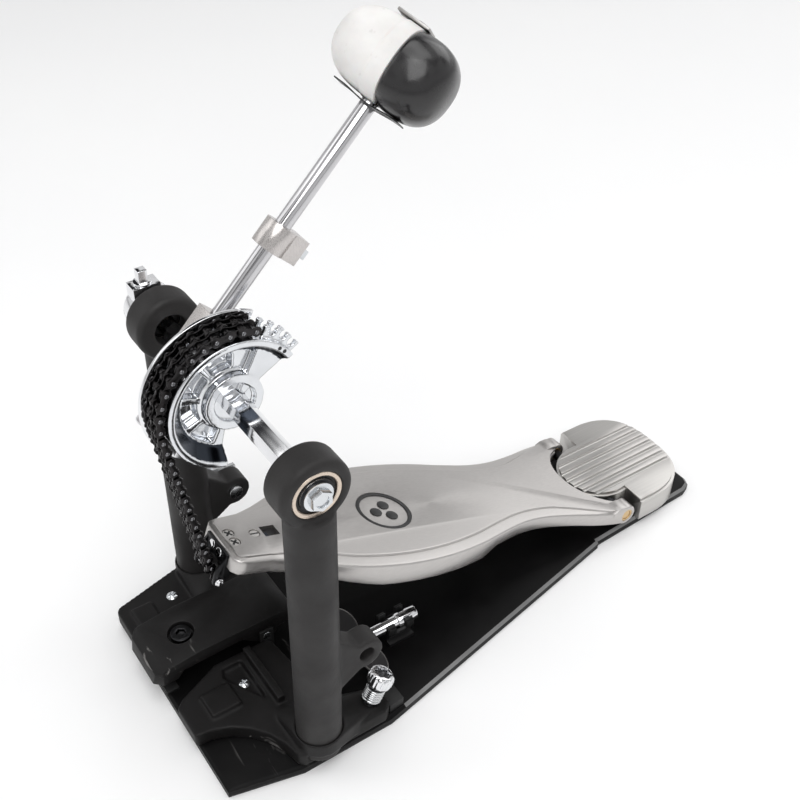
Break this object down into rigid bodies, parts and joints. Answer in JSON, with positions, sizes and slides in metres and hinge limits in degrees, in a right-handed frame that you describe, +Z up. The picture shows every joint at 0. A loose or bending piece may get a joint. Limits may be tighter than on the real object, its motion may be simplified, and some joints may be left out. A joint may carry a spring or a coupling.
{
  "type": "bass drum pedal",
  "caption": "Chain-driven bass drum pedal on a steel base plate, with a hinged footboard, a turning beater, a return spring, spurs and a hoop clamp.",
  "frame": {"origin": "underside of the rubber underlay, straight below the middle of the hex shaft", "axes": "+Z up, +Y from the heel towards the drum, +X to the player's right, along the hex shaft"},
  "size_m": [0.1745, 0.3555, 0.3338],
  "materials": {
    "rubber_black": "moulded black rubber, satin",
    "plate_black": "black powder coat on steel plate, satin",
    "casting_black": "matte black powder coat on cast metal",
    "bearing_steel": "pale bearing race",
    "zinc_screw": "bright zinc plated screws",
    "black_screw": "black oxide screw",
    "satin_aluminium": "cast aluminium, finely brushed and clear coated",
    "bronze": "sintered bronze",
    "plastic_black": "black moulded nylon",
    "emblem_black": "black printed ring",
    "chrome": "polished chrome plate",
    "chain_black": "oiled black steel chain with bright pin ends",
    "satin_nickel": "satin nickel plate",
    "spring_steel": "bright drawn steel",
    "felt_white": "white moulded beater face"
  },
  "bodies": {
    "root": {"rubber_underlay": "rubber_black", "base_plate": "plate_black", "left_foot": "casting_black", "right_foot": "casting_black", "left_post": "casting_black", "right_post": "casting_black", "left_bearing": "bearing_steel", "right_bearing": "bearing_steel", "side_brackets": "rubber_black", "foot_screws": "zinc_screw", "heel_plate": "satin_aluminium", "heel_screws": "zinc_screw", "hinge_pin": "bronze", "clamp_pin": "zinc_screw", "clamp_pads": "casting_black", "key_clip": "plastic_black", "key_clip_screw": "zinc_screw", "spur_springs": "chrome", "spring_bracket": "spring_steel", "spring_rod": "chrome", "spring_nuts": "zinc_screw"},
    "drive": {"hex_shaft": "chrome", "axle_screws": "zinc_screw", "sprocket": "chrome", "sprocket_rim": "chrome", "sprocket_screw": "zinc_screw", "chain_wrap": "chain_black", "beater_holder": "satin_nickel", "holder_screw": "chrome", "spring_rocker": "chrome", "rocker_screw": "chrome", "rocker_pin": "chrome"},
    "beater": {"beater_rod": "chrome", "head_felt": "felt_white", "head_rubber": "rubber_black", "head_cradle": "plastic_black", "head_cap": "spring_steel"},
    "memory_lock": {"memory_lock": "satin_nickel", "lock_screw": "satin_nickel"},
    "board": {"footboard": "satin_aluminium", "board_emblem": "emblem_black", "toe_screws": "zinc_screw", "hinge_bushes": "bronze", "chain_anchor": "chrome", "anchor_screws": "chrome"},
    "clamp_lever": {"clamp_lever": "casting_black"},
    "clamp_screw": {"clamp_screw": "black_screw"},
    "left_spur": {"left_spur": "chrome"},
    "right_spur": {"right_spur": "chrome"},
    "drum_key": {"drum_key": "chrome"},
    "spring_top": {"spring_hook": "spring_steel", "return_spring": "spring_steel"},
    "link_1": {"chain_link_1": "chain_black"},
    "link_2": {"chain_link_2": "chain_black"},
    "link_3": {"chain_link_3": "chain_black"},
    "link_4": {"chain_link_4": "chain_black"},
    "link_5": {"chain_link_5": "chain_black"},
    "link_6": {"chain_link_6": "chain_black"},
    "run": {"chain_run": "chain_black"}
  },
  "joints": [
    {"name": "drive_swing", "type": "hinge", "parent": "root", "child": "drive", "pos_m": [0, 0, 0.188], "axis": [-1, 0, 0], "range_deg": [0, 55], "stiffness_Nm_per_rad": 1.6, "springref_deg": -17.19},
    {"name": "board_pivot", "type": "hinge", "parent": "root", "child": "board", "pos_m": [0, -0.236, 0.0153], "axis": [-1, 0, 0], "range_deg": [0, 8]},
    {"name": "beater_turn", "type": "hinge", "parent": "drive", "child": "beater", "pos_m": [0.026, 0.00713, 0.19501], "axis": [0, -0.7009, 0.7133], "continuous": true},
    {"name": "lock_slide", "type": "slide", "parent": "beater", "child": "memory_lock", "axis": [0, -0.7009, 0.7133], "range_m": [-0.036, 0.06]},
    {"name": "clamp_screw_lift", "type": "slide", "parent": "root", "child": "clamp_screw", "axis": [0, 0, 1], "range_m": [-0.003, 0.002]},
    {"name": "clamp_lever_tilt", "type": "hinge", "parent": "root", "child": "clamp_lever", "pos_m": [0, -0.008, 0.0165], "axis": [1, 0, 0], "range_deg": [-4.3, 2.9]},
    {"name": "left_spur_turn", "type": "hinge", "parent": "root", "child": "left_spur", "pos_m": [-0.065, -0.031, 0.0145], "axis": [0, -0.4321, 0.9018], "continuous": true},
    {"name": "right_spur_turn", "type": "hinge", "parent": "root", "child": "right_spur", "pos_m": [0.065, -0.031, 0.0145], "axis": [0, -0.4321, 0.9018], "continuous": true},
    {"name": "key_lift", "type": "slide", "parent": "root", "child": "drum_key", "axis": [0, 0, 1], "range_m": [0, 0.008]},
    {"name": "spring_stretch", "type": "slide", "parent": "root", "child": "spring_top", "axis": [0, 0, 1], "range_m": [0, 0.0168], "deforming": ["return_spring"]},
    {"name": "chain_hinge_1", "type": "hinge", "parent": "drive", "child": "link_1", "pos_m": [0, 0.02342, 0.21591], "axis": [1, 0, 0], "range_deg": [0, 6.44]},
    {"name": "chain_hinge_2", "type": "hinge", "parent": "link_1", "child": "link_2", "pos_m": [0, 0.02791, 0.21142], "axis": [1, 0, 0], "range_deg": [0, 10.1]},
    {"name": "chain_hinge_3", "type": "hinge", "parent": "link_2", "child": "link_3", "pos_m": [0, 0.03155, 0.20622], "axis": [1, 0, 0], "range_deg": [0, 10.1]},
    {"name": "chain_hinge_4", "type": "hinge", "parent": "link_3", "child": "link_4", "pos_m": [0, 0.03423, 0.20046], "axis": [1, 0, 0], "range_deg": [0, 10.1]},
    {"name": "chain_hinge_5", "type": "hinge", "parent": "link_4", "child": "link_5", "pos_m": [0, 0.03588, 0.19433], "axis": [1, 0, 0], "range_deg": [0, 10.1]},
    {"name": "chain_hinge_6", "type": "hinge", "parent": "link_5", "child": "link_6", "pos_m": [0, 0.03643, 0.188], "axis": [1, 0, 0], "range_deg": [0, 10.1]},
    {"name": "chain_hinge_7", "type": "hinge", "parent": "link_6", "child": "run", "pos_m": [0, 0.03588, 0.18167], "axis": [1, 0, 0], "range_deg": [0, 4.51]}
  ],
  "couplings": [
    {"joint": "board_pivot", "follows": "drive_swing", "ratio": 0.1436},
    {"joint": "spring_stretch", "follows": "drive_swing", "m_per_rad": 0.017314},
    {"joint": "clamp_lever_tilt", "follows": "clamp_screw_lift", "rad_per_m": 24.39},
    {"joint": "chain_hinge_1", "follows": "drive_swing", "ratio": 0.11527},
    {"joint": "chain_hinge_2", "follows": "drive_swing", "ratio": 0.18182},
    {"joint": "chain_hinge_3", "follows": "drive_swing", "ratio": 0.18182},
    {"joint": "chain_hinge_4", "follows": "drive_swing", "ratio": 0.18182},
    {"joint": "chain_hinge_5", "follows": "drive_swing", "ratio": 0.18182},
    {"joint": "chain_hinge_6", "follows": "drive_swing", "ratio": 0.18182},
    {"joint": "chain_hinge_7", "follows": "drive_swing", "ratio": 0.08018}
  ]
}
